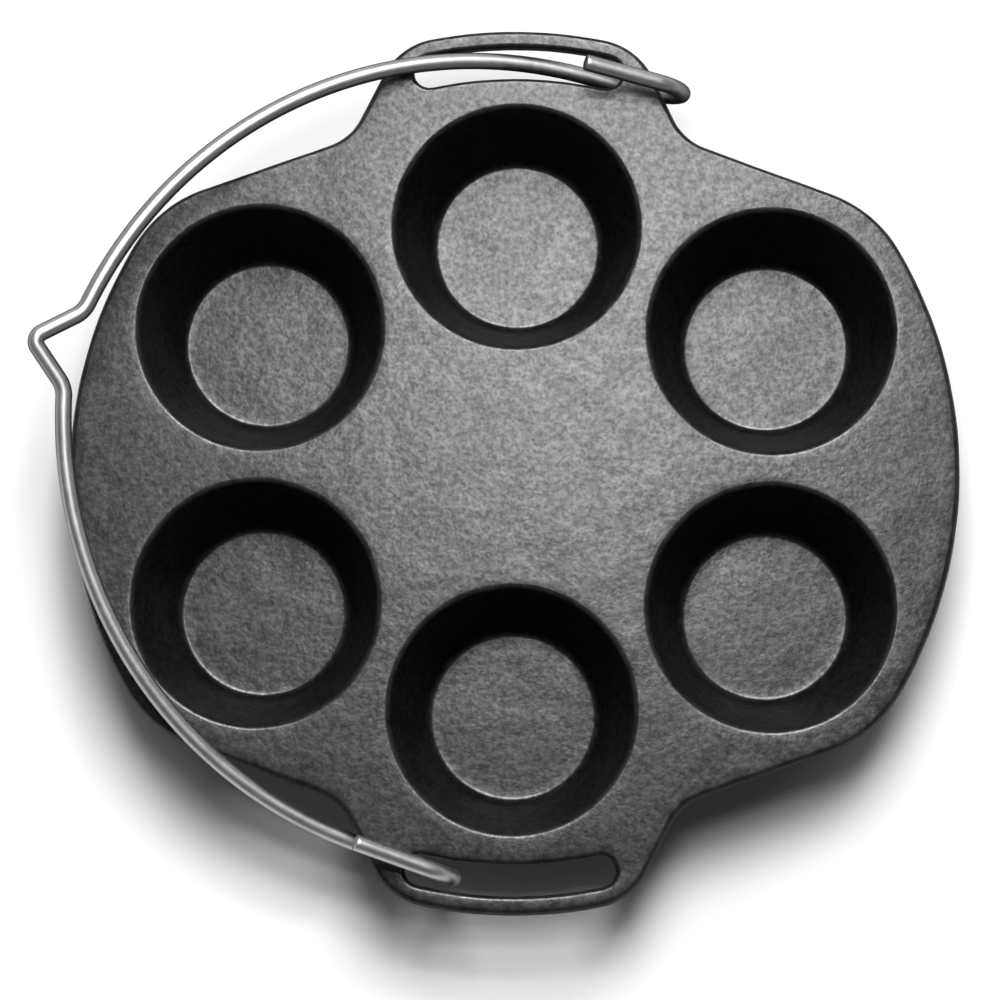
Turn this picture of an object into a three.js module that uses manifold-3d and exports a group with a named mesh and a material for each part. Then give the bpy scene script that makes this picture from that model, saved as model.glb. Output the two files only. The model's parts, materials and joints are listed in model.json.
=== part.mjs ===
// Cast-iron muffin pan with six tapered cups, two slotted hand tabs and a swinging wire bail.
// Millimetres, +Z up. The origin is the centre of the deck's top face; the tabs point along +Y and -Y.
import * as THREE from "three";
import { mergeVertices } from "three/addons/utils/BufferGeometryUtils.js";
import Module from "manifold-3d";

const wasm = await Module();
wasm.setup();
const radians = THREE.MathUtils.degToRad;

// Cups: one at the back and one at the front on the Y axis, and two at each side
const CUP_MOUTH_DIAMETER = 78.2;
const CUP_FLOOR_DIAMETER = 56;
const CUP_DEPTH = 39.7;
const CUP_WALL = 4.5;
const CUP_FLOOR_THICKNESS = 5;
const CUP_LIP_ROUND = 2;
const CUP_FLOOR_FILLET = 2.5;
const CUP_BASE_ROUND = 4;
const SIDE_CUP_BEARING = radians(28.4); // of a side cup's centre from the X axis

// Lands: the deck left round the cups, which sets how large the pan's round rim is
const CUP_LAND = 10.5; // between the two mouths of one side
const RIM_LAND = 10.15; // between a side cup's mouth and the rim
const SLOT_LAND = 9.55; // between a middle cup's mouth and the slot beside it

// Deck outline: the rim's circle, cut back between the tabs by four straight shoulders
const DECK_THICKNESS = 6;
const DECK_EDGE_ROUND = 1.5;
const TAB_REACH = 23.5; // of the rim beyond the shoulders' straight edges
const SHOULDER_SLOPE = radians(19.9); // of those edges against X
const SHOULDER_ROUND = 42;
const TAB_WIDTH = 78; // across the tab's outer corners, before they are rounded
const TAB_FLARE = radians(26.5); // of the tab's sides, which spread towards the deck
const TAB_CORNER_ROUND = 22;
const TAB_NECK_FILLET = 17.5;

// Hand slots, curved with the rim
const SLOT_LENGTH = 67;
const SLOT_WIDTH = 10;
const SLOT_BAR = 6.1; // bar left between a slot and the rim

// Bail: one bent wire, hooked round the right leg of the back tab and the left leg of the front tab
const WIRE_DIAMETER = 5.3;
const HOOK_PLAY = 4; // between the wire and the corners of the leg that it turns round
const HOOK_RUN = 18.5; // straight wire between the arch and a hook's bend
const HOOK_RETURN = 24.5; // straight wire from the bend to the cut end
const HOOK_LEAN = radians(3.6); // of both, drawn in towards the middle
const HOOK_INSET = 4.2; // of the hooks' bends from the legs' middles, towards the pan's centre
const BAIL_SLIDE = 0.8; // of the bail along its hinge, towards the back
const HINGE_OFFSET = 3.1; // of the hinge from the legs' middles, away from the slots
const HOOK_SETBACK = 1.2; // of the back hook's bend from its leg's middle, across the hinge
const BAIL_SKEW = radians(2.5); // by which the front hook's bend stands further off its leg
const ARCH_SHOULDER_SLOPE = radians(11.8); // of the arch where the hanging kink starts
const KINK_SLOPE = radians(48.5);
const KINK_ARM = 12; // straight side of the hanging kink
const KINK_CROWN_RADIUS = 3.2;
const KINK_FOOT_RADIUS = 9;
const KINK_SHIFT = radians(2.2); // of the kink round the arch, from its middle towards the front
const REST_CLEARANCE = 0.4; // between the resting wire and the deck

// Fineness of the facets
const ROUND_STEPS = 4; // across a rounded edge
const OUTLINE_STEPS = 4; // half the chords of one arc in an outline
const CUP_SIDES = 36;
const WIRE_SIDES = 10;
const WIRE_SAG = 0.15; // largest distance between a bent wire and its chords
const REST_SAMPLES = 1500; // points of the wire that are tried against the deck
const CORNER_MERGE = 1e-4; // distance within which corners count as one

const mouthRadius = CUP_MOUTH_DIAMETER / 2;
const floorRadius = CUP_FLOOR_DIAMETER / 2;
const sideCupY = mouthRadius + CUP_LAND / 2;
const sideCupDistance = sideCupY / Math.sin(SIDE_CUP_BEARING);
const sideCupX = sideCupDistance * Math.cos(SIDE_CUP_BEARING);
const panRadius = sideCupDistance + mouthRadius + RIM_LAND;
const slotOuter = panRadius - SLOT_BAR;
const slotMiddle = slotOuter - SLOT_WIDTH / 2;
const slotInner = slotOuter - SLOT_WIDTH;
const middleCupY = slotInner - SLOT_LAND - mouthRadius;
const wireRadius = WIRE_DIAMETER / 2;

const castIron = new THREE.MeshStandardMaterial({ color: 0x3a3a3c, roughness: 0.55, metalness: 0.8 });
const polishedSteel = new THREE.MeshStandardMaterial({ color: 0xc9cacc, roughness: 0.2, metalness: 1 });

// Solids for joining and cutting

function solidOf(geometry) {
  const bare = geometry.clone();
  bare.deleteAttribute("normal");
  bare.deleteAttribute("uv");
  const merged = mergeVertices(bare, CORNER_MERGE);
  const corners = merged.index.array;
  const kept = [];
  for (let i = 0; i < corners.length; i += 3) {
    const [a, b, c] = corners.slice(i, i + 3);
    if (a !== b && b !== c && c !== a) kept.push(a, b, c);
  }
  return new wasm.Manifold(
    new wasm.Mesh({
      numProp: 3,
      vertProperties: merged.attributes.position.array,
      triVerts: new Uint32Array(kept),
    }),
  );
}

function geometryOf(solid) {
  const mesh = solid.getMesh();
  const geometry = new THREE.BufferGeometry();
  geometry.setAttribute("position", new THREE.BufferAttribute(mesh.vertProperties, 3));
  geometry.setIndex(new THREE.BufferAttribute(mesh.triVerts, 1));
  return geometry;
}

// A solid of revolution about Z, from a path of radius and height
function turned(profile) {
  return new THREE.LatheGeometry(profile.getPoints(ROUND_STEPS / 2), CUP_SIDES).rotateX(Math.PI / 2);
}

function namedMesh(name, geometry, material) {
  const mesh = new THREE.Mesh(geometry, material);
  mesh.name = name;
  return mesh;
}

// Deck

const polar = (angle, radius) => new THREE.Vector2(Math.cos(angle), Math.sin(angle)).multiplyScalar(radius);

// Straight edges of one quadrant as the angle of the outward normal and the distance from the centre
const shoulderEdge = { angle: Math.PI / 2 - SHOULDER_SLOPE, distance: panRadius - TAB_REACH };
const tabCorner = new THREE.Vector2(TAB_WIDTH / 2, Math.sqrt(panRadius ** 2 - (TAB_WIDTH / 2) ** 2));
const tabEdge = { angle: TAB_FLARE, distance: tabCorner.dot(polar(TAB_FLARE, 1)) };

// Centre of a round that touches a straight edge and the rim from inside, to one side of the edge's normal
function rimRoundCentre(edge, radius, side) {
  const out = edge.distance - radius;
  const along = Math.sqrt((panRadius - radius) ** 2 - out ** 2);
  return polar(edge.angle, out).add(polar(edge.angle + side * (Math.PI / 2), along));
}

// Centre of the fillet in the inner corner between two straight edges
function neckFilletCentre(first, second, radius) {
  const a = polar(first.angle, 1);
  const b = polar(second.angle, 1);
  const p = first.distance + radius;
  const q = second.distance + radius;
  const cross = a.x * b.y - a.y * b.x;
  return new THREE.Vector2((p * b.y - q * a.y) / cross, (q * a.x - p * b.x) / cross);
}

// The arcs of the outline from the +X axis to the +Y axis, anticlockwise; straight edges join them
function quadrantArcs() {
  const centre = new THREE.Vector2();
  const shoulder = rimRoundCentre(shoulderEdge, SHOULDER_ROUND, -1);
  const neck = neckFilletCentre(shoulderEdge, tabEdge, TAB_NECK_FILLET);
  const corner = rimRoundCentre(tabEdge, TAB_CORNER_ROUND, 1);
  return [
    { centre, radius: panRadius, from: 0, to: shoulder.angle() },
    { centre: shoulder, radius: SHOULDER_ROUND, from: shoulder.angle(), to: shoulderEdge.angle },
    {
      centre: neck,
      radius: TAB_NECK_FILLET,
      from: shoulderEdge.angle - Math.PI,
      to: tabEdge.angle - Math.PI,
      clockwise: true,
    },
    { centre: corner, radius: TAB_CORNER_ROUND, from: tabEdge.angle, to: corner.angle() },
    { centre, radius: panRadius, from: corner.angle(), to: Math.PI / 2 },
  ];
}

const mirrored = ({ centre, radius, from, to, clockwise }) => ({
  centre: new THREE.Vector2(-centre.x, centre.y),
  radius,
  from: Math.PI - to,
  to: Math.PI - from,
  clockwise,
});

const halfTurned = ({ centre, radius, from, to, clockwise }) => ({
  centre: centre.clone().negate(),
  radius,
  from: from + Math.PI,
  to: to + Math.PI,
  clockwise,
});

function outlineOf(arcs) {
  const shape = new THREE.Shape();
  for (const { centre, radius, from, to, clockwise } of arcs) {
    shape.absarc(centre.x, centre.y, radius, from, to, Boolean(clockwise));
  }
  return shape;
}

function deckOutline() {
  const first = quadrantArcs();
  const second = first.map(mirrored).reverse();
  const half = [...first, ...second];
  return outlineOf([...half, ...half.map(halfTurned)]);
}

// The slot's ends are round, about points on the middle of its width
const slotEndX = SLOT_LENGTH / 2 - SLOT_WIDTH / 2;
const slotEndAngle = Math.acos(slotEndX / slotMiddle);
const slotEnd = polar(slotEndAngle, slotMiddle);

function backSlotArcs() {
  const centre = new THREE.Vector2();
  const endRound = {
    centre: slotEnd,
    radius: SLOT_WIDTH / 2,
    from: slotEndAngle - Math.PI,
    to: slotEndAngle,
  };
  const farAngle = Math.PI - slotEndAngle;
  return [
    endRound,
    { centre, radius: slotOuter, from: slotEndAngle, to: farAngle },
    mirrored(endRound),
    { centre, radius: slotInner, from: farAngle, to: slotEndAngle, clockwise: true },
  ];
}

const deckShape = deckOutline();
const slotShapes = [backSlotArcs(), backSlotArcs().map(halfTurned)].map(outlineOf);
deckShape.holes.push(...slotShapes);

const cupTaper = Math.atan((mouthRadius - floorRadius) / CUP_DEPTH); // of the wall against the cup's axis
const cupRadiusAt = (z) => mouthRadius + z * Math.tan(cupTaper);

// What a cup takes out of the deck: its cone, opened at the top by the rounded lip
function mouthCutter() {
  const lipAngle = Math.PI / 2 - cupTaper; // between the cone and the deck's face
  const lipReach = CUP_LIP_ROUND * Math.tan(lipAngle / 2);
  const lipCentre = new THREE.Vector2(mouthRadius + lipReach, -CUP_LIP_ROUND);
  const below = -2 * DECK_THICKNESS;
  const above = DECK_THICKNESS;
  const profile = new THREE.Path();
  profile.moveTo(0, below);
  profile.lineTo(cupRadiusAt(below), below);
  profile.absarc(lipCentre.x, lipCentre.y, CUP_LIP_ROUND, Math.PI - cupTaper, Math.PI / 2, true);
  profile.lineTo(lipCentre.x, above);
  profile.lineTo(0, above);
  return solidOf(turned(profile));
}

const cupPlaces = {
  cup_back: [0, middleCupY],
  cup_back_right: [sideCupX, sideCupY],
  cup_front_right: [sideCupX, -sideCupY],
  cup_front: [0, -middleCupY],
  cup_front_left: [-sideCupX, -sideCupY],
  cup_back_left: [-sideCupX, sideCupY],
};

function deckGeometry() {
  const plate = new THREE.ExtrudeGeometry(deckShape, {
    depth: DECK_THICKNESS - 2 * DECK_EDGE_ROUND,
    curveSegments: OUTLINE_STEPS,
    bevelThickness: DECK_EDGE_ROUND,
    bevelSize: DECK_EDGE_ROUND,
    bevelOffset: -DECK_EDGE_ROUND,
    bevelSegments: ROUND_STEPS / 2,
  });
  plate.translate(0, 0, DECK_EDGE_ROUND - DECK_THICKNESS);
  const cutter = mouthCutter();
  let deck = solidOf(plate);
  for (const [x, y] of Object.values(cupPlaces)) {
    deck = deck.subtract(cutter.translate([x, y, 0]));
  }
  return geometryOf(deck);
}

// Cups: shells of even wall below the deck, from its underside to the pan's base

function cupGeometry() {
  const top = -DECK_THICKNESS;
  const floor = -CUP_DEPTH;
  const base = floor - CUP_FLOOR_THICKNESS;
  const wallAcross = CUP_WALL / Math.cos(cupTaper);
  const outerRadiusAt = (z) => cupRadiusAt(z) + wallAcross;
  const cornerShare = Math.tan((Math.PI / 2 - cupTaper) / 2);
  const filletRadius = cupRadiusAt(floor) - CUP_FLOOR_FILLET * cornerShare;
  const baseRadius = outerRadiusAt(base) - CUP_BASE_ROUND * cornerShare;
  const profile = new THREE.Path();
  profile.moveTo(0, base);
  profile.lineTo(baseRadius, base);
  profile.absarc(baseRadius, base + CUP_BASE_ROUND, CUP_BASE_ROUND, -Math.PI / 2, -cupTaper, false);
  profile.lineTo(outerRadiusAt(top), top);
  profile.lineTo(cupRadiusAt(top), top);
  profile.absarc(filletRadius, floor + CUP_FLOOR_FILLET, CUP_FLOOR_FILLET, -cupTaper, -Math.PI / 2, true);
  profile.lineTo(0, floor);
  return turned(profile);
}

// Bail

// A wire bent run by run, as on a bending jig: straight lengths and round bends
class BentWire extends THREE.Curve {
  constructor(start, heading) {
    super();
    this.end = start.clone();
    this.heading = heading.clone().normalize();
    this.runs = [];
    this.steps = 0;
  }

  add(steps, pointAt) {
    this.runs.push({ first: this.steps, steps, pointAt });
    this.steps += steps;
    this.end = pointAt(1);
  }

  straight(length) {
    const start = this.end;
    const heading = this.heading.clone();
    this.add(1, (share) => heading.clone().multiplyScalar(share * length).add(start));
    return this;
  }

  // Turns by the angle about the axis, with the bend's centre square to both
  bend(radius, angle, axis) {
    const side = axis.clone().cross(this.heading).multiplyScalar(Math.sign(angle) * radius);
    const centre = this.end.clone().add(side);
    const spoke = side.negate();
    const steps = Math.ceil(Math.abs(angle) / (2 * Math.acos(1 - WIRE_SAG / radius)));
    this.add(steps, (share) => spoke.clone().applyAxisAngle(axis, share * angle).add(centre));
    this.heading.applyAxisAngle(axis, angle);
    return this;
  }

  getPoint(t) {
    const place = t * this.steps;
    const run = this.runs.findLast(({ first }) => first <= place) ?? this.runs[0];
    return run.pointAt((place - run.first) / run.steps);
  }

  // Points are spread by steps, so that tight bends get their share
  getUtoTmapping(u) {
    return u;
  }
}

// The two legs that the hooks turn round lie across the pan's centre from each other
const legOuterX = (tabEdge.distance - slotEnd.y * Math.sin(TAB_FLARE)) / Math.cos(TAB_FLARE);
const legWidth = legOuterX - SLOT_LENGTH / 2;
const legCentre = new THREE.Vector2((legOuterX + SLOT_LENGTH / 2) / 2, slotEnd.y);
const hingeEnd = new THREE.Vector2(legCentre.x + HINGE_OFFSET, legCentre.y);
const legCornerReach =
  Math.hypot(legWidth / 2 - DECK_EDGE_ROUND, DECK_THICKNESS / 2 - DECK_EDGE_ROUND) + DECK_EDGE_ROUND;
const hookRadius = legCornerReach + HOOK_PLAY + wireRadius;

// The wire lies in the plane z = 0 of its own frame, with its hooks on the Y axis, bent up round X = 0,
// and its arch towards -X. Each half of the arch is one round bend, sized to span the two slots.
const hookY = hingeEnd.length() - HOOK_INSET;
const footTurn = KINK_SLOPE - ARCH_SHOULDER_SLOPE;
const kinkHalfWidth =
  KINK_CROWN_RADIUS * Math.sin(KINK_SLOPE) +
  KINK_ARM * Math.cos(KINK_SLOPE) +
  KINK_FOOT_RADIUS * (Math.sin(KINK_SLOPE) - Math.sin(ARCH_SHOULDER_SLOPE));
const archSweep = Math.PI / 2 - HOOK_LEAN - ARCH_SHOULDER_SLOPE;
const archSpan = hookY - HOOK_RUN * Math.sin(HOOK_LEAN) - kinkHalfWidth;
const archRadius = archSpan / (Math.cos(HOOK_LEAN) - Math.sin(ARCH_SHOULDER_SLOPE));

function bailWire() {
  const up = new THREE.Vector3(0, 0, 1);
  const intoHook = new THREE.Vector3(Math.cos(HOOK_LEAN), Math.sin(HOOK_LEAN), 0); // at the back
  const intoFarHook = new THREE.Vector3(Math.cos(HOOK_LEAN), -Math.sin(HOOK_LEAN), 0);
  const hookAxis = up.clone().cross(intoHook);
  const farHookAxis = intoFarHook.clone().cross(up);
  const cutEnd = new THREE.Vector3(0, hookY, 2 * hookRadius).addScaledVector(intoHook, -HOOK_RETURN);
  return new BentWire(cutEnd, intoHook)
    .straight(HOOK_RETURN)
    .bend(hookRadius, Math.PI, hookAxis)
    .straight(HOOK_RUN)
    .bend(archRadius, archSweep + KINK_SHIFT, up)
    .bend(KINK_FOOT_RADIUS, -footTurn, up)
    .straight(KINK_ARM)
    .bend(KINK_CROWN_RADIUS, 2 * KINK_SLOPE, up)
    .straight(KINK_ARM)
    .bend(KINK_FOOT_RADIUS, -footTurn, up)
    .bend(archRadius, archSweep - KINK_SHIFT, up)
    .straight(HOOK_RUN)
    .bend(hookRadius, Math.PI, farHookAxis)
    .straight(HOOK_RETURN);
}

function wireGeometry(wire) {
  const section = new THREE.Shape();
  section.absarc(0, 0, wireRadius, 0, 2 * Math.PI, false);
  return new THREE.ExtrudeGeometry(section, {
    steps: wire.steps,
    curveSegments: WIRE_SIDES / 2,
    extrudePath: wire,
  });
}

function isInside(corners, point) {
  let inside = false;
  corners.forEach((a, i) => {
    const b = corners.at(i - 1);
    const crossesHeight = a.y > point.y !== b.y > point.y;
    if (crossesHeight && point.x < a.x + ((b.x - a.x) * (point.y - a.y)) / (b.y - a.y)) inside = !inside;
  });
  return inside;
}

// The hinge runs through both legs at half the deck's thickness.
// The skewed wire lies below it by the radius of the hooks' bends.
const hinge = new THREE.Group();
hinge.rotation.order = "ZYX";
hinge.position.z = -DECK_THICKNESS / 2;
hinge.rotation.z = -Math.atan2(hingeEnd.x, hingeEnd.y);
const backHook = new THREE.Group();
backHook.position.set(HOOK_SETBACK, hookY + BAIL_SLIDE, -hookRadius);
backHook.rotation.z = BAIL_SKEW;
const wire = bailWire();
const bail = namedMesh("bail", wireGeometry(wire), polishedSteel);
bail.position.y = -hookY;
backHook.add(bail);
hinge.add(backHook);

// The swing at which every point of the wire over the deck clears its top face.
// Which points lie over the deck depends on the swing itself, so it starts from a first guess.
function restingSwing(guess) {
  const across = new THREE.Vector3(0, 1, 0);
  const along = new THREE.Vector3(0, 0, 1);
  const deckCorners = deckShape.getPoints(OUTLINE_STEPS);
  const slotCorners = slotShapes.map((slot) => slot.getPoints(OUTLINE_STEPS));
  const lift = wireRadius + REST_CLEARANCE - hinge.position.z;
  let swing = 0;
  for (const sample of wire.getPoints(REST_SAMPLES)) {
    const place = sample.applyMatrix4(bail.matrix).applyMatrix4(backHook.matrix);
    if (place.x > -SLOT_LENGTH / 2) continue;
    const plan = place.clone().applyAxisAngle(across, guess).applyAxisAngle(along, hinge.rotation.z);
    const overDeck = isInside(deckCorners, plan) && !slotCorners.some((slot) => isInside(slot, plan));
    if (!overDeck) continue;
    const reach = Math.hypot(place.x, place.z);
    swing = Math.max(swing, Math.atan2(-place.z, -place.x) + Math.asin(lift / reach));
  }
  return swing;
}
backHook.updateMatrix();
bail.updateMatrix();
hinge.rotation.y = restingSwing(restingSwing(0));

// The pan

const pan = new THREE.Group();
pan.add(namedMesh("deck", deckGeometry(), castIron));
for (const [name, [x, y]] of Object.entries(cupPlaces)) {
  const cup = namedMesh(name, cupGeometry(), castIron);
  cup.position.set(x, y, 0);
  pan.add(cup);
}
pan.add(hinge);

export default pan;
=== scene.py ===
# Cast-iron muffin pan with a wire bail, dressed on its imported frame
import json
import math

import bmesh
import bpy
import numpy as np
from mathutils import Matrix, Vector, noise
from mathutils.geometry import delaunay_2d_cdt
from mathutils.kdtree import KDTree


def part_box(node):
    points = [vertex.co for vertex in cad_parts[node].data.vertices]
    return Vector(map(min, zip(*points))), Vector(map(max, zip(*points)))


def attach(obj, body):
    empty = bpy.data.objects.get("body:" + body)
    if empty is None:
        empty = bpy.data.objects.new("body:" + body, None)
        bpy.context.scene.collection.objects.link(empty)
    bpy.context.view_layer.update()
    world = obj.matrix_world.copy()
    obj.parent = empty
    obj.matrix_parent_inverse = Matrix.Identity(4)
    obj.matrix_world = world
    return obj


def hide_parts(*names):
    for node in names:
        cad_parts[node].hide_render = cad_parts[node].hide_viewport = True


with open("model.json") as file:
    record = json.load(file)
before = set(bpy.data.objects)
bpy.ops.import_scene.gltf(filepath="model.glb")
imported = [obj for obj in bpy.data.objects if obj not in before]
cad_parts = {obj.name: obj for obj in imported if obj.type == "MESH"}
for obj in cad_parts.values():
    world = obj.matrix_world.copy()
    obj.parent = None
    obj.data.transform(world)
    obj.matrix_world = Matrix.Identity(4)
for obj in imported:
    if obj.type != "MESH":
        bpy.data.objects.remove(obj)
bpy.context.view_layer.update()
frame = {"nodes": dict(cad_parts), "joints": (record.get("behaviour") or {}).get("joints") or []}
mm = 0.001  # sizes below are in millimetres, meshes in metres
scene = bpy.context.scene
scene.view_settings.view_transform = "Standard"
print("frame loaded:", len(frame["nodes"]), "nodes")


# camera, as the photograph was taken: nearly straight down, from a little in front
cameraSetup = {
    "place": (15.3, -140.8, 1232.9),
    "tilt": (6.026, 0.909, 0.482),  # degrees about x, y and z, the last turned first
    "lens": 139.93,
    "sensor": 36,
}


def makeCamera(make):
    lens = bpy.data.cameras.new("camera")
    lens.lens = make["lens"]
    lens.sensor_width = make["sensor"]
    camera = bpy.data.objects.new("camera", lens)
    camera.location = Vector(make["place"]) * mm
    camera.rotation_mode = "ZYX"
    camera.rotation_euler = [math.radians(a) for a in make["tilt"]]
    scene.collection.objects.link(camera)
    scene.camera = camera


makeCamera(cameraSetup)
print("camera set")


# node helpers
def newMaterial(name):
    material = bpy.data.materials.new(name)
    material.use_nodes = True
    tree = material.node_tree
    return material, tree, tree.nodes["Principled BSDF"]


def feed(tree, socket, value):  # a link from another node, or a plain value
    if isinstance(value, bpy.types.NodeSocket):
        tree.links.new(value, socket)
    else:
        socket.default_value = value


def addNode(tree, kind, settings=None, **inputs):
    node = tree.nodes.new(kind)
    for key, value in (settings or {}).items():
        setattr(node, key, value)
    for key, value in inputs.items():
        feed(tree, node.inputs[key], value)
    return node


def grain(tree, place, make):  # waves across a metre, finer layers and the strength of each on the last
    scale, detail, rough = make
    node = addNode(tree, "ShaderNodeTexNoise", Vector=place, Scale=scale, Detail=detail, Roughness=rough)
    return node.outputs["Fac"]


def spread(tree, value, source, target):  # a smooth step from one range to another
    node = addNode(tree, "ShaderNodeMapRange", {"interpolation_type": "SMOOTHSTEP"}, Value=value)
    for side, (low, high) in (("From", source), ("To", target)):
        node.inputs[side + " Min"].default_value = low
        node.inputs[side + " Max"].default_value = high
    return node.outputs["Result"]


def maths(tree, operation, a, b):
    node = addNode(tree, "ShaderNodeMath", {"operation": operation})
    for socket, value in zip(node.inputs, (a, b)):
        feed(tree, socket, value)
    return node.outputs[0]


def blend(tree, first, second, firstShare):  # two grains, weighed
    rest = maths(tree, "MULTIPLY", second, 1 - firstShare)
    return maths(tree, "ADD", maths(tree, "MULTIPLY", first, firstShare), rest)


def attribute(tree, name, output="Fac"):
    return addNode(tree, "ShaderNodeAttribute", {"attribute_name": name}).outputs[output]


def mixColours(tree, share, first, second):
    node = addNode(tree, "ShaderNodeMix", {"data_type": "RGBA"})
    feed(tree, node.inputs[0], share)
    for socket, colour in ((node.inputs[6], first), (node.inputs[7], second)):
        feed(tree, socket, (*colour, 1) if isinstance(colour, tuple) else colour)
    return node.outputs[2]


# seasoned iron: black baked oil over sand-cast grain
ironFinish = {
    "dark": (0.008, 0.008, 0.0083),
    "pale": (0.017, 0.017, 0.0174),
    "worn": (0.024, 0.024, 0.0244),
    "clouds": (38, 4, 0.6),  # each grain as waves across a metre, finer layers, strength of the layers
    "patches": (150, 3, 0.55),
    "peel": (430, 2, 0.6),
    "sand": (900, 1, 0.5),
    "grainShift": (530, 310, 170),  # takes the point where all the grain's waves start off the pan
    "mottleRange": (0.8, 1.2),
    "rubRange": (0.4, 0.62),
    "rubShare": (0.15, 1),
    "rubRough": 0.06,
    "patchRange": (0.36, 0.64),
    "rough": (0.285, 0.325),
    "peelShare": 0.6,
    "gritRange": (0.3, 0.7),
    "sheen": (0.38, 0.84),
    "flankShare": 0.07,  # of the sheen
    "flankRough": 0.55,
    "peelDepth": 0.07,
    "sandDepth": 0.012,
}


def ironMaterial(make):
    material, tree, shader = newMaterial("seasonedIron")
    onPan = addNode(tree, "ShaderNodeTexCoord").outputs["Object"]
    shift = Vector(make["grainShift"]) * mm
    place = addNode(tree, "ShaderNodeMapping", Vector=onPan, Location=shift).outputs[0]
    grains = ("clouds", "patches", "peel", "sand")
    clouds, patches, peel, sand = (grain(tree, place, make[name]) for name in grains)

    mottle = spread(tree, maths(tree, "ADD", clouds, peel), make["mottleRange"], (0, 1))
    colour = mixColours(tree, mottle, make["dark"], make["pale"])
    patchy = spread(tree, patches, make["rubRange"], make["rubShare"])
    rubbed = maths(tree, "MULTIPLY", attribute(tree, "edgeWear"), patchy)
    colour = mixColours(tree, rubbed, colour, make["worn"])
    tree.links.new(colour, shader.inputs["Base Color"])

    # the flanks of the cups keep a duller mould skin than the deck and the cup floors
    flank = attribute(tree, "flank")
    rough = spread(tree, patches, make["patchRange"], make["rough"])
    rough = maths(tree, "ADD", rough, maths(tree, "MULTIPLY", rubbed, make["rubRough"]))
    rough = maths(tree, "MAXIMUM", rough, maths(tree, "MULTIPLY", flank, make["flankRough"]))
    tree.links.new(rough, shader.inputs["Roughness"])
    grit = blend(tree, peel, sand, make["peelShare"])
    sheen = spread(tree, grit, make["gritRange"], make["sheen"])
    sheen = maths(tree, "MULTIPLY", sheen, spread(tree, flank, (0, 1), (1, make["flankShare"])))
    tree.links.new(sheen, shader.inputs["Specular IOR Level"])

    skin = addNode(tree, "ShaderNodeBump", Height=peel, Distance=make["peelDepth"] * mm).outputs[0]
    fine = addNode(tree, "ShaderNodeBump", Height=sand, Distance=make["sandDepth"] * mm, Normal=skin)
    tree.links.new(fine.outputs[0], shader.inputs["Normal"])
    return material


# drawn and polished steel wire, with painted shade on its steep sides
steelFinish = {
    "bright": (0.62, 0.62, 0.63),
    "dull": (0.45, 0.45, 0.458),
    "flank": (0.15, 0.15, 0.153),  # painted shade for the wire's steep sides, standing in for the darker reflections there
    "edgeTint": (0.05, 0.05, 0.05),  # drawn steel darkens towards its edges
    "drawScale": (9, 9, 22),  # across the wire twice, and along it
    "lines": (1, 3, 0.65),  # after that scale; the next two grains as in the iron
    "scuffs": (420, 3, 0.6),
    "clouds": (55, 3, 0.5),
    "cloudRange": (0.42, 0.68),
    "lineRange": (0.4, 0.65),
    "lineShare": (0.2, 0.9),
    "lineRub": 0.6,
    "sideShadeRange": (0.3, 0.7),
    "sideShadeShare": (0.97, 0.8),
    "shadeFadeY": (-70, 50),  # the painted side shade is weaker towards the front of the pan, between these distances along y
    "shadeFadeShare": (0.2, 1),
    "rubRange": (0.36, 0.66),
    "rough": (0.38, 0.50),
    "drawDepth": 0.008,
}


def steelMaterial(make):
    material, tree, shader = newMaterial("polishedWire")
    strand = attribute(tree, "strand", "Vector")
    place = addNode(tree, "ShaderNodeTexCoord").outputs["Object"]
    drawn = addNode(tree, "ShaderNodeMapping", Vector=strand, Scale=make["drawScale"]).outputs[0]
    lines = grain(tree, drawn, make["lines"])
    scuffs, clouds = (grain(tree, place, make[k]) for k in ("scuffs", "clouds"))
    rubbed = blend(tree, lines, scuffs, make["lineRub"])

    cloudy = spread(tree, clouds, make["cloudRange"], (0, 1))
    dulled = maths(tree, "MULTIPLY", cloudy, spread(tree, lines, make["lineRange"], make["lineShare"]))
    colour = mixColours(tree, dulled, make["bright"], make["dull"])
    # painted shade: the wire's steep sides turn dark, broken up by the rub grain and weaker towards the
    # front
    sideShade = spread(tree, rubbed, make["sideShadeRange"], make["sideShadeShare"])
    sideShade = maths(tree, "MULTIPLY", attribute(tree, "flank"), sideShade)
    along = addNode(tree, "ShaderNodeSeparateXYZ", Vector=place).outputs["Y"]
    shadeFade = spread(tree, along, [y * mm for y in make["shadeFadeY"]], make["shadeFadeShare"])
    sideShade = maths(tree, "MULTIPLY", sideShade, shadeFade)
    tree.links.new(mixColours(tree, sideShade, colour, make["flank"]), shader.inputs["Base Color"])

    rough = spread(tree, rubbed, make["rubRange"], make["rough"])
    tree.links.new(rough, shader.inputs["Roughness"])
    shader.inputs["Metallic"].default_value = 1
    shader.inputs["Specular Tint"].default_value = (*make["edgeTint"], 1)
    relief = addNode(tree, "ShaderNodeBump", Height=lines, Distance=make["drawDepth"] * mm)
    tree.links.new(relief.outputs[0], shader.inputs["Normal"])
    return material


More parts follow.
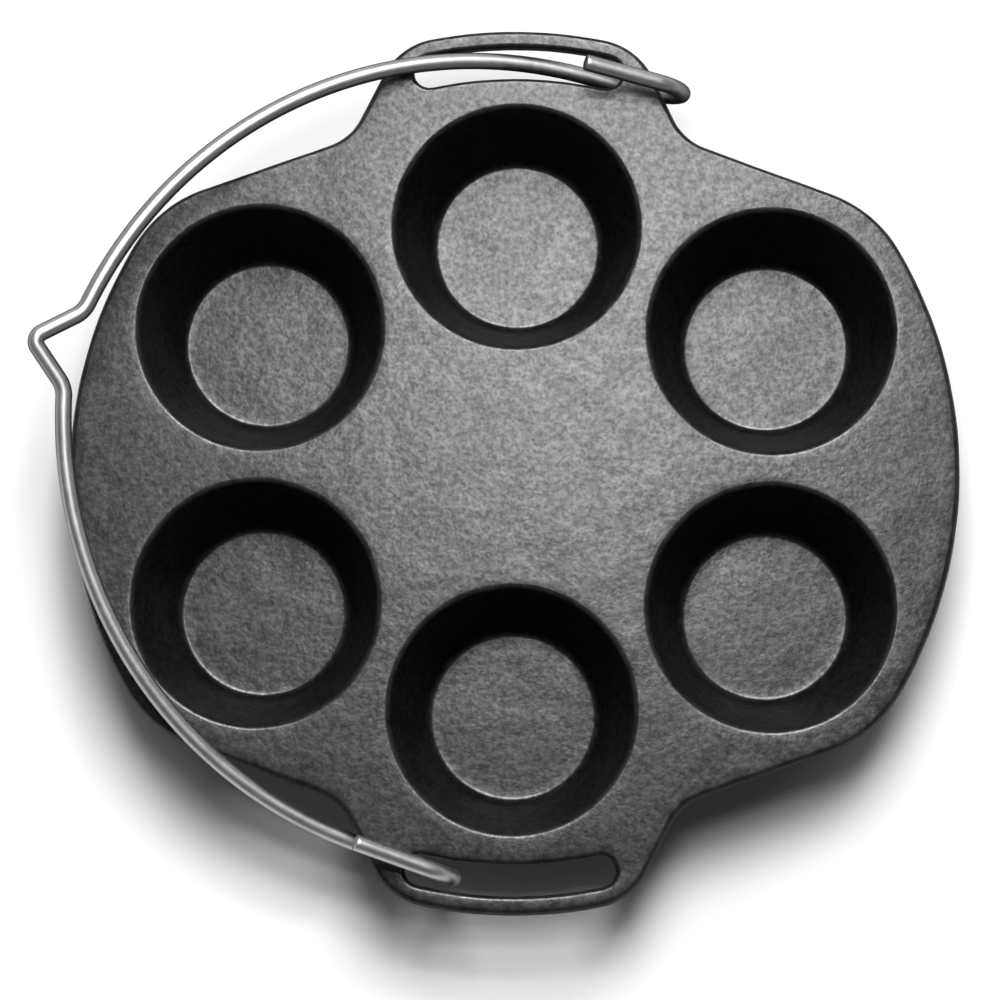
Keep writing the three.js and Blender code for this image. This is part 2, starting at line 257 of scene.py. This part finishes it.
# casting: deck, tabs, slots and six cups in one skin
deckMake = {
    "tabReach": 23.5,  # of the rim beyond the shoulders
    "shoulderSlope": 19.9,
    "shoulderRound": 42,
    "tabWidth": 78,
    "tabFlare": 26.5,
    "tabCornerRound": 22,
    "tabNeckFillet": 17.5,
    "slotLength": 67,
    "slotWidth": 10,
    "slotBar": 6.1,
    "topRound": 1.5,
    "bottomRound": 1.5,
    "sideDraft": 13,  # degrees, so that the rim is widest low down
    "slotRound": 1.5,
    "slotDraft": 2,
    "pointStep": 1.6,
    "gridStep": 2.2,
}
cupMake = {
    "mouth": 78.2,
    "floor": 56,
    "depth": 39.7,
    "wall": 4.5,
    "lipRound": 2,
    "floorFillet": 2.5,
    "rootFillet": 2,  # under the deck
    "baseRound": 4,
    "sides": 120,
    "wallRows": 14,
}
skinMake = {
    "unevenness": ((70, 0.10), (190, 0.05), (420, 0.03)),  # waves across a metre, millimetres deep
    "weld": 0.0001,  # corners nearer than this become one
    "wearFrom": 0.12,  # how sharply the skin turns, for each millimetre, where rubbing starts to show
    "wearSpan": 0.4,
    "flankFrom": 0.97,  # how level the skin still is where a flank starts
    "flankSpan": 0.25,
}

deckLow, deckHigh = (Vector(corner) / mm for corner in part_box("deck"))
panRadius = deckHigh.y
deckThickness = deckHigh.z - deckLow.z
cupNames = [name for name in frame["nodes"] if name.startswith("cup_")]
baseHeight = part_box(cupNames[0])[0].z / mm


def polar(angle, radius):
    return Vector((math.cos(angle), math.sin(angle))) * radius


def shoulderLine(make):
    return math.pi / 2 - math.radians(make["shoulderSlope"]), panRadius - make["tabReach"]


def tabLine(make):
    flare = math.radians(make["tabFlare"])
    half = make["tabWidth"] / 2
    corner = Vector((half, math.sqrt(panRadius**2 - half**2)))
    return flare, corner.dot(polar(flare, 1))


def rimRoundCentre(line, radius, side):  # of a round that touches a straight edge and the rim
    angle, distance = line
    out = distance - radius
    along = math.sqrt((panRadius - radius) ** 2 - out**2)
    return polar(angle, out) + polar(angle + side * math.pi / 2, along)


def neckCentre(first, second, radius):
    a, b = polar(first[0], 1), polar(second[0], 1)
    p, q = first[1] + radius, second[1] + radius
    cross = a.x * b.y - a.y * b.x
    return Vector(((p * b.y - q * a.y) / cross, (q * a.x - p * b.x) / cross))


def arcOf(centre, radius, start, end, hollow=False):
    return {"centre": centre, "radius": radius, "start": start, "end": end, "hollow": hollow}


def mirrored(arc):
    centre = Vector((-arc["centre"].x, arc["centre"].y))
    return arcOf(centre, arc["radius"], math.pi - arc["end"], math.pi - arc["start"], arc["hollow"])


def halfTurned(arc):
    start, end = arc["start"] + math.pi, arc["end"] + math.pi
    return arcOf(-arc["centre"], arc["radius"], start, end, arc["hollow"])


def deckArcs(make):
    shoulder, tab = shoulderLine(make), tabLine(make)
    shoulderCentre = rimRoundCentre(shoulder, make["shoulderRound"], -1)
    cornerCentre = rimRoundCentre(tab, make["tabCornerRound"], 1)
    neck = neckCentre(shoulder, tab, make["tabNeckFillet"])
    shoulderBearing = math.atan2(shoulderCentre.y, shoulderCentre.x)
    cornerBearing = math.atan2(cornerCentre.y, cornerCentre.x)
    quadrant = [
        arcOf(Vector((0, 0)), panRadius, 0, shoulderBearing),
        arcOf(shoulderCentre, make["shoulderRound"], shoulderBearing, shoulder[0]),
        arcOf(neck, make["tabNeckFillet"], shoulder[0] - math.pi, tab[0] - math.pi, True),
        arcOf(cornerCentre, make["tabCornerRound"], tab[0], cornerBearing),
        arcOf(Vector((0, 0)), panRadius, cornerBearing, math.pi / 2),
    ]
    half = quadrant + [mirrored(arc) for arc in reversed(quadrant)]
    return half + [halfTurned(arc) for arc in half]


def slotEnd(make):
    middle = panRadius - make["slotBar"] - make["slotWidth"] / 2
    return math.acos((make["slotLength"] - make["slotWidth"]) / 2 / middle), middle


def slotArcs(make):
    bearing, middle = slotEnd(make)
    half = make["slotWidth"] / 2
    endRound = arcOf(polar(bearing, middle), half, bearing - math.pi, bearing)
    return [
        endRound,
        arcOf(Vector((0, 0)), middle + half, bearing, math.pi - bearing),
        mirrored(endRound),
        arcOf(Vector((0, 0)), middle - half, math.pi - bearing, bearing, True),
    ]


def traceLoop(arcs, step, least=1e-4):  # points with outward normals; straight edges join the arcs
    loop = []
    for arc in arcs:
        turn = arc["end"] - arc["start"]
        count = max(2, math.ceil(abs(turn) * arc["radius"] / step))
        facing = -1 if arc["hollow"] else 1
        points = []
        for i in range(count + 1):
            spoke = polar(arc["start"] + turn * i / count, 1)
            points.append((arc["centre"] + spoke * arc["radius"], spoke * facing))
        if loop:
            loop += straightPoints(loop[-1], points[0], step)
        loop += points
    loop += straightPoints(loop[-1], loop[0], step)
    cleaned = [loop[0]]
    for point in loop[1:]:
        if all((point[0] - known[0]).length > least for known in (cleaned[-1], cleaned[0])):
            cleaned.append(point)
    return cleaned


def straightPoints(first, last, step):
    length = (last[0] - first[0]).length
    count = math.ceil(length / step)
    return [(first[0].lerp(last[0], i / count), first[1]) for i in range(1, count)]


def edgeProfile(topRound, bottomRound, draft, steps=7):  # inset and height, from top face to underside
    lean = math.radians(draft)
    lowHeight = bottomRound - deckThickness
    sideTop = topRound * (math.sin(lean) - 1)
    sideLow = lowHeight + bottomRound * math.sin(lean)
    leanInset = (sideTop - sideLow) * math.tan(lean)
    topInset = bottomRound * (1 - math.cos(lean)) + leanInset + topRound * math.cos(lean)
    rows = []
    for i in range(steps + 1):
        angle = math.pi / 2 + (lean - math.pi / 2) * i / steps
        rows.append((topInset - topRound * math.cos(angle), topRound * (math.sin(angle) - 1)))
    for i in range(steps + 1):
        angle = lean - (lean + math.pi / 2) * i / steps
        rows.append((bottomRound * (1 - math.cos(angle)), lowHeight + bottomRound * math.sin(angle)))
    return rows


def cupRows(make):  # radius and height: the inside from lip to floor, and the outside from root to base
    taper = math.atan((make["mouth"] - make["floor"]) / 2 / make["depth"])
    right = math.pi / 2
    sharp = math.tan((right - taper) / 2)
    blunt = math.tan((right + taper) / 2)

    def outsideAt(z):
        return make["mouth"] / 2 + z * math.tan(taper) + make["wall"] / math.cos(taper)

    def arc(radius, height, size, start, end, steps=7):
        turns = [start + (end - start) * i / steps for i in range(steps + 1)]
        return [(radius + size * math.cos(a), height + size * math.sin(a)) for a in turns]

    def joined(first, second):
        rows = []
        for i in range(make["wallRows"]):
            share = i / make["wallRows"]
            rows.append(tuple(a + (b - a) * share for a, b in zip(first[-1], second[0])))
        return first + rows[1:] + second

    lip, fillet, base, root = (make[k] for k in ("lipRound", "floorFillet", "baseRound", "rootFillet"))
    lipArc = arc(make["mouth"] / 2 + lip * sharp, -lip, lip, right, math.pi - taper)
    floorArc = arc(make["floor"] / 2 - fillet * sharp, fillet - make["depth"], fillet, -taper, -right)
    rootRadius = outsideAt(-deckThickness) + root / blunt
    rootArc = arc(rootRadius, -deckThickness - root, root, right, math.pi - taper)
    baseArc = arc(outsideAt(baseHeight) - base * sharp, baseHeight + base, base, -taper, -right)
    return joined(lipArc, floorArc), joined(rootArc, baseArc)


def sweepRows(bm, loops):  # quads between neighbouring loops of points
    rows = [[bm.verts.new(Vector(p) * mm) for p in loop] for loop in loops]
    for upper, lower in zip(rows, rows[1:]):
        for i in range(len(upper)):
            j = (i + 1) % len(upper)
            bm.faces.new((upper[i], upper[j], lower[j], lower[i]))
    return rows[0], rows[-1]


def edgeLoops(loop, rows, facing=1):
    return [[(*(point - normal * (inset * facing)), z) for point, normal in loop] for inset, z in rows]


def turnedLoops(centre, rows, sides):
    spokes = [polar(2 * math.pi * i / sides, 1) for i in range(sides)]
    return [[(*(centre + spoke * radius), z) for spoke in spokes] for radius, z in rows]


def insideLoops(points, loops):  # even-odd count over all the loops
    inside = np.zeros(len(points), bool)
    for loop in loops:
        for a, b in zip(loop, np.roll(loop, -1, axis=0)):
            if a[1] == b[1]:
                continue
            crosses = (a[1] > points[:, 1]) != (b[1] > points[:, 1])
            meets = a[0] + (b[0] - a[0]) * (points[:, 1] - a[1]) / (b[1] - a[1])
            inside ^= crosses & (points[:, 0] < meets)
    return inside


# even triangles on a flat face between its rings of corners
def fillFlat(bm, rings, step, away=0.75, tolerance=1e-5):
    corners = [vert for ring in rings for vert in ring]
    height = sum(vert.co.z for vert in corners) / len(corners)
    loops = [np.array([vert.co.xy for vert in ring]) / mm for ring in rings]
    flat = np.concatenate(loops)
    near = KDTree(len(flat))
    for i, point in enumerate(flat):
        near.insert((*point, 0), i)
    near.balance()
    low, high = flat.min(0), flat.max(0)
    grid = []
    for j, y in enumerate(np.arange(low[1], high[1], step * math.sqrt(3) / 2)):
        grid += [(x, y) for x in np.arange(low[0] + step / 2 * (j % 2), high[0], step)]
    grid = np.array(grid)
    grid = grid[insideLoops(grid, loops)]
    grid = [point for point in grid if near.find((*point, 0))[2] > away * step]
    edges, first = [], 0
    for loop in loops:
        edges += [(first + i, first + (i + 1) % len(loop)) for i in range(len(loop))]
        first += len(loop)
    places = [Vector(point) for point in flat] + [Vector(point) for point in grid]
    found, _, faces, origins, _, _ = delaunay_2d_cdt(places, edges, [], 1, tolerance)
    middles = np.array([sum((found[i] for i in face), Vector((0, 0))) / 3 for face in faces])
    kept = insideLoops(middles, loops)
    verts = []
    for point, origin in zip(found, origins):
        known = [i for i in origin if i < len(corners)]
        verts.append(corners[known[0]] if known else bm.verts.new((point.x * mm, point.y * mm, height)))
    for face, keep in zip(faces, kept):
        if keep:
            bm.faces.new([verts[i] for i in face])


def makeCasting(deck, cup, skin):
    bm = bmesh.new()
    rim = traceLoop(deckArcs(deck), deck["pointStep"])
    backSlot = slotArcs(deck)
    frontSlot = [halfTurned(arc) for arc in backSlot]
    slots = [traceLoop(arcs, deck["pointStep"]) for arcs in (backSlot, frontSlot)]
    rimRows = edgeProfile(deck["topRound"], deck["bottomRound"], deck["sideDraft"])
    slotRows = edgeProfile(deck["slotRound"], deck["bottomRound"], deck["slotDraft"])
    insideRows, outsideRows = cupRows(cup)

    topRings, underRings = [], []
    for loops in [edgeLoops(rim, rimRows)] + [edgeLoops(slot, slotRows, -1) for slot in slots]:
        top, under = sweepRows(bm, loops)
        topRings.append(top)
        underRings.append(under)
    for name in cupNames:
        low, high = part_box(name)
        centre = (low.xy + high.xy) / 2 / mm
        lip, floor = sweepRows(bm, turnedLoops(centre, insideRows, cup["sides"]))
        root, base = sweepRows(bm, turnedLoops(centre, outsideRows, cup["sides"]))
        topRings.append(lip)
        underRings.append(root)
        fillFlat(bm, [floor], deck["gridStep"])
        fillFlat(bm, [base], deck["gridStep"])
    fillFlat(bm, topRings, deck["gridStep"])
    fillFlat(bm, underRings, deck["gridStep"])
    bmesh.ops.remove_doubles(bm, verts=bm.verts, dist=skin["weld"] * mm)
    bmesh.ops.recalc_face_normals(bm, faces=bm.faces)
    bm.normal_update()
    for vert in bm.verts:
        swell = sum(noise.noise(vert.co * waves) * depth for waves, depth in skin["unevenness"])
        vert.co += vert.normal * (swell * mm)
    mesh = bpy.data.meshes.new("casting")
    bm.to_mesh(mesh)
    bm.free()
    mesh.polygons.foreach_set("use_smooth", [True] * len(mesh.polygons))
    markWear(mesh, skin)
    casting = bpy.data.objects.new("casting", mesh)
    scene.collection.objects.link(casting)
    return casting


def clamped(value):
    return min(1.0, max(0.0, value))


def steepness(vert, make):  # 0 on level faces, 1 on flanks
    return clamped((make["flankFrom"] - abs(vert.normal.z)) / make["flankSpan"])


def markWear(mesh, make):  # lips and rims, where hands and tools rub, and the steep faces
    bm = bmesh.new()
    bm.from_mesh(mesh)
    bm.normal_update()
    wear, flank = [], []
    for vert in bm.verts:
        bulge = 0.0
        for edge in vert.link_edges:
            span = edge.other_vert(vert).co - vert.co
            bulge = max(bulge, -2 * span.dot(vert.normal) / span.length_squared * mm)
        wear.append(clamped((bulge - make["wearFrom"]) / make["wearSpan"]))
        flank.append(steepness(vert, make))
    bm.free()
    mesh.attributes.new("edgeWear", "FLOAT", "POINT").data.foreach_set("value", wear)
    mesh.attributes.new("flank", "FLOAT", "POINT").data.foreach_set("value", flank)


casting = makeCasting(deckMake, cupMake, skinMake)
casting.data.materials.append(ironMaterial(ironFinish))
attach(casting, "pan")
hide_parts("deck", *cupNames)
print("casting made:", len(casting.data.vertices), "corners")


# bail: one wire, bent in turn as on a jig
bailMake = {
    "wire": 5.3,
    "hookPlay": 4,  # between the wire and the leg that it turns round
    "hookRun": 18.5,
    "hookReturn": 24.5,
    "hookLean": 3.6,
    "hookInset": 4.2,
    "slide": 0.8,  # along the hinge, towards the back
    "hingeOffset": 3.1,
    "hookSetback": 1.2,
    "skew": 2.5,
    "archSlope": 11.8,
    "kinkSlope": 48.5,
    "kinkArm": 12,
    "kinkCrown": 3.2,
    "kinkFoot": 9,
    "kinkShift": 2.2,  # degrees round the arch, towards the front
    "restSwing": 16.11,
    "cutChamfer": 0.5,
    "cutSteps": (0.0, 0.35, 0.7),  # along the chamfer
    "flankFrom": 0.92,  # how level the wire still is where the painted shade on its sides starts
    "flankSpan": 0.34,
    "sides": 28,
    "turnStep": 3,  # degrees of bend for each ring
    "archStep": 1,
    "ringStep": 1.5,
}


class BentWire:
    def __init__(self, start, heading):
        self.heading = heading.normalized()
        self.places = [start.copy()]
        self.headings = [self.heading.copy()]

    def straight(self, length, step):
        start = self.places[-1]
        count = max(1, math.ceil(length / step))
        for i in range(1, count + 1):
            self.places.append(start + self.heading * (length * i / count))
            self.headings.append(self.heading.copy())
        return self

    def bend(self, radius, angle, axis, turnStep):
        start, heading = self.places[-1], self.heading.copy()
        side = axis.cross(heading) * math.copysign(radius, angle)
        count = max(2, math.ceil(abs(angle) / turnStep))
        for i in range(1, count + 1):
            turn = Matrix.Rotation(angle * i / count, 3, axis)
            self.places.append(start + side - turn @ side)
            self.headings.append(turn @ heading)
        self.heading = self.headings[-1].copy()
        return self


def bailLine(make, deck):
    flare, tabDistance = tabLine(deck)
    bearing, middle = slotEnd(deck)
    slotY = polar(bearing, middle).y
    legOuter = (tabDistance - slotY * math.sin(flare)) / math.cos(flare)
    legInner = deck["slotLength"] / 2
    legWidth = legOuter - legInner
    edge = deck["topRound"]
    legReach = math.hypot(legWidth / 2 - edge, deckThickness / 2 - edge) + edge
    hookRadius = legReach + make["hookPlay"] + make["wire"] / 2
    hingeEnd = Vector(((legOuter + legInner) / 2 + make["hingeOffset"], slotY))
    hookY = hingeEnd.length - make["hookInset"]
    lean, slope, kink = (math.radians(make[k]) for k in ("hookLean", "archSlope", "kinkSlope"))
    kinkHalf = (
        make["kinkCrown"] * math.sin(kink)
        + make["kinkArm"] * math.cos(kink)
        + make["kinkFoot"] * (math.sin(kink) - math.sin(slope))
    )
    archSpan = hookY - make["hookRun"] * math.sin(lean) - kinkHalf
    archRadius = archSpan / (math.cos(lean) - math.sin(slope))
    archSweep = math.pi / 2 - lean - slope
    shift = math.radians(make["kinkShift"])

    up = Vector((0, 0, 1))
    into = Vector((math.cos(lean), math.sin(lean), 0))
    intoFar = Vector((math.cos(lean), -math.sin(lean), 0))
    step = make["ringStep"]
    turn, archTurn = (math.radians(make[k]) for k in ("turnStep", "archStep"))
    wire = BentWire(Vector((0, hookY, 2 * hookRadius)) - into * make["hookReturn"], into)
    wire.straight(make["hookReturn"], step).bend(hookRadius, math.pi, up.cross(into), turn)
    wire.straight(make["hookRun"], step).bend(archRadius, archSweep + shift, up, archTurn)
    wire.bend(make["kinkFoot"], slope - kink, up, turn).straight(make["kinkArm"], step)
    wire.bend(make["kinkCrown"], 2 * kink, up, turn)
    wire.straight(make["kinkArm"], step).bend(make["kinkFoot"], slope - kink, up, turn)
    wire.bend(archRadius, archSweep - shift, up, archTurn).straight(make["hookRun"], step)
    wire.bend(hookRadius, math.pi, intoFar.cross(up), turn).straight(make["hookReturn"], step)

    hinge = frame["joints"][0]
    yaw = -math.atan2(hinge["axis"][0], hinge["axis"][1])
    seat = (
        Matrix.Translation(Vector(hinge["pos_m"]) / mm)
        @ Matrix.Rotation(yaw, 4, "Z")
        @ Matrix.Rotation(math.radians(make["restSwing"]), 4, "Y")
        @ Matrix.Translation((make["hookSetback"], hookY + make["slide"], -hookRadius))
        @ Matrix.Rotation(math.radians(make["skew"]), 4, "Z")
        @ Matrix.Translation((0, -hookY, 0))
    )
    turned = seat.to_3x3()
    return [seat @ place for place in wire.places], [turned @ heading for heading in wire.headings]


def makeBail(make, deck):
    places, headings = bailLine(make, deck)
    radius, chamfer = make["wire"] / 2, make["cutChamfer"]
    # the cut ends: a flat face with a small rounded chamfer
    stations = []
    for share in make["cutSteps"]:
        size = radius - chamfer * (1 - math.sqrt(1 - (1 - share) ** 2))
        stations.append((chamfer * share, size))
    rings = [(places[0] + headings[0] * ahead, headings[0], size) for ahead, size in stations]
    rings += [(place, heading, radius) for place, heading in zip(places[1:-1], headings[1:-1])]
    rings += [(places[-1] - headings[-1] * ahead, headings[-1], size) for ahead, size in stations[::-1]]

    bm = bmesh.new()
    rows, strand, along = [], [], 0.0
    across = headings[0].orthogonal().normalized()
    for i, (place, heading, size) in enumerate(rings):
        across = (across - heading * across.dot(heading)).normalized()
        beside = heading.cross(across)
        along += (place - rings[i - 1][0]).length if i else 0.0
        row = []
        for k in range(make["sides"]):
            spoke = polar(2 * math.pi * k / make["sides"], 1)
            row.append(bm.verts.new((place + (across * spoke.x + beside * spoke.y) * size) * mm))
            strand += [spoke.x, spoke.y, along * mm]
        rows.append(row)
    for first, second in zip(rows, rows[1:]):
        for k in range(make["sides"]):
            j = (k + 1) % make["sides"]
            bm.faces.new((first[k], first[j], second[j], second[k]))
    caps = [bm.faces.new(rows[0]), bm.faces.new(rows[-1])]
    bmesh.ops.recalc_face_normals(bm, faces=bm.faces)
    for face in bm.faces:
        face.smooth = face not in caps
    bm.normal_update()
    # steepness, which sets where the wire's material paints shade on its sides
    flank = [steepness(vert, make) for vert in bm.verts]
    mesh = bpy.data.meshes.new("bailWire")
    bm.to_mesh(mesh)
    bm.free()
    mesh.attributes.new("strand", "FLOAT_VECTOR", "POINT").data.foreach_set("vector", strand)
    mesh.attributes.new("flank", "FLOAT", "POINT").data.foreach_set("value", flank)
    bail = bpy.data.objects.new("bailWire", mesh)
    scene.collection.objects.link(bail)
    return bail


bail = makeBail(bailMake, deckMake)
bail.data.materials.append(steelMaterial(steelFinish))
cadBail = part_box("bail")
bailBox = [Vector([f(v.co[k] for v in bail.data.vertices) for k in range(3)]) for f in (min, max)]
print("bail off its solid by", [round((a - b).length / mm, 2) for a, b in zip(bailBox, cadBail)], "mm")
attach(bail, "bail")
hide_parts("bail")
print("bail made:", len(bail.data.vertices), "corners")


# stage: a white board under the cups, a lamp overhead and a wide one behind, a pale room
stageSetup = {
    "boardSize": 12,  # metres
    "boardGap": 0.15,
    "boardColour": (0.96, 0.96, 0.96),
    "boardRough": 0.9,
    "boardSheen": 0.1,
    "nearRange": (135, 205),  # from the middle of the pan
    "nearGlow": (0.006, 0.3),
    "farRange": (260, 1500),
    "farGlow": (0, 0.62),  # added where the lamps no longer reach
    "lampAim": (0, 0, -20),
    "overheadPlace": (25, 181, 900),
    "overheadSize": (220, 260),
    "overheadPower": 2.7,
    "backPlace": (150, 1250, 2165),
    "backSize": (1100, 760),
    "backPower": 54,
    "sweepEnd": (0.05, 0.22),  # heights of the sight line where the white sweep gives way to the ceiling
    "sweepColour": (1.0, 1.0, 1.0),
    "ceilingColour": (0.08, 0.08, 0.08),
    "dimColour": (0.03, 0.03, 0.03),  # what the room itself adds to the light
}


def seenDirectly(tree):  # camera, mirror and see-through rays
    path = addNode(tree, "ShaderNodeLightPath")
    seen = maths(tree, "MAXIMUM", path.outputs["Is Camera Ray"], path.outputs["Is Glossy Ray"])
    return maths(tree, "MAXIMUM", seen, path.outputs["Is Transmission Ray"])


def makeBoard(make):
    half = make["boardSize"] / 2
    height = (baseHeight - make["boardGap"]) * mm
    mesh = bpy.data.meshes.new("board")
    corners = [(x * half, y * half, height) for x, y in ((-1, -1), (1, -1), (1, 1), (-1, 1))]
    mesh.from_pydata(corners, [], [(0, 1, 2, 3)])
    board = bpy.data.objects.new("board", mesh)
    scene.collection.objects.link(board)
    material, tree, shader = newMaterial("whiteBoard")
    shader.inputs["Base Color"].default_value = (*make["boardColour"], 1)
    shader.inputs["Roughness"].default_value = make["boardRough"]
    shader.inputs["Specular IOR Level"].default_value = make["boardSheen"]
    shader.inputs["Emission Color"].default_value = (1, 1, 1, 1)
    place = addNode(tree, "ShaderNodeTexCoord").outputs["Object"]
    away = addNode(tree, "ShaderNodeVectorMath", {"operation": "LENGTH"}, Vector=place).outputs["Value"]
    near = spread(tree, away, [r * mm for r in make["nearRange"]], make["nearGlow"])
    far = spread(tree, away, [r * mm for r in make["farRange"]], make["farGlow"])
    glow = maths(tree, "MULTIPLY", seenDirectly(tree), maths(tree, "ADD", near, far))
    tree.links.new(glow, shader.inputs["Emission Strength"])
    mesh.materials.append(material)


def makeLamp(name, make):
    place = Vector(make[name + "Place"])
    light = bpy.data.lights.new(name, "AREA")
    light.shape = "RECTANGLE"
    light.size, light.size_y = (s * mm for s in make[name + "Size"])
    light.energy = make[name + "Power"]
    lamp = bpy.data.objects.new(name, light)
    lamp.location = place * mm
    lamp.rotation_euler = (Vector(make["lampAim"]) - place).to_track_quat("-Z", "Y").to_euler()
    scene.collection.objects.link(lamp)


def makeRoom(make):
    world = bpy.data.worlds.new("room")
    scene.world = world
    world.use_nodes = True
    tree = world.node_tree
    sight = addNode(tree, "ShaderNodeTexCoord").outputs["Generated"]
    height = addNode(tree, "ShaderNodeSeparateXYZ", Vector=sight).outputs["Z"]
    share = spread(tree, height, make["sweepEnd"], (0, 1))
    colour = mixColours(tree, share, make["sweepColour"], make["ceilingColour"])
    colour = mixColours(tree, seenDirectly(tree), make["dimColour"], colour)
    tree.links.new(colour, tree.nodes["Background"].inputs["Color"])


makeBoard(stageSetup)
for lampName in ("overhead", "back"):
    makeLamp(lampName, stageSetup)
makeRoom(stageSetup)
print("stage set")
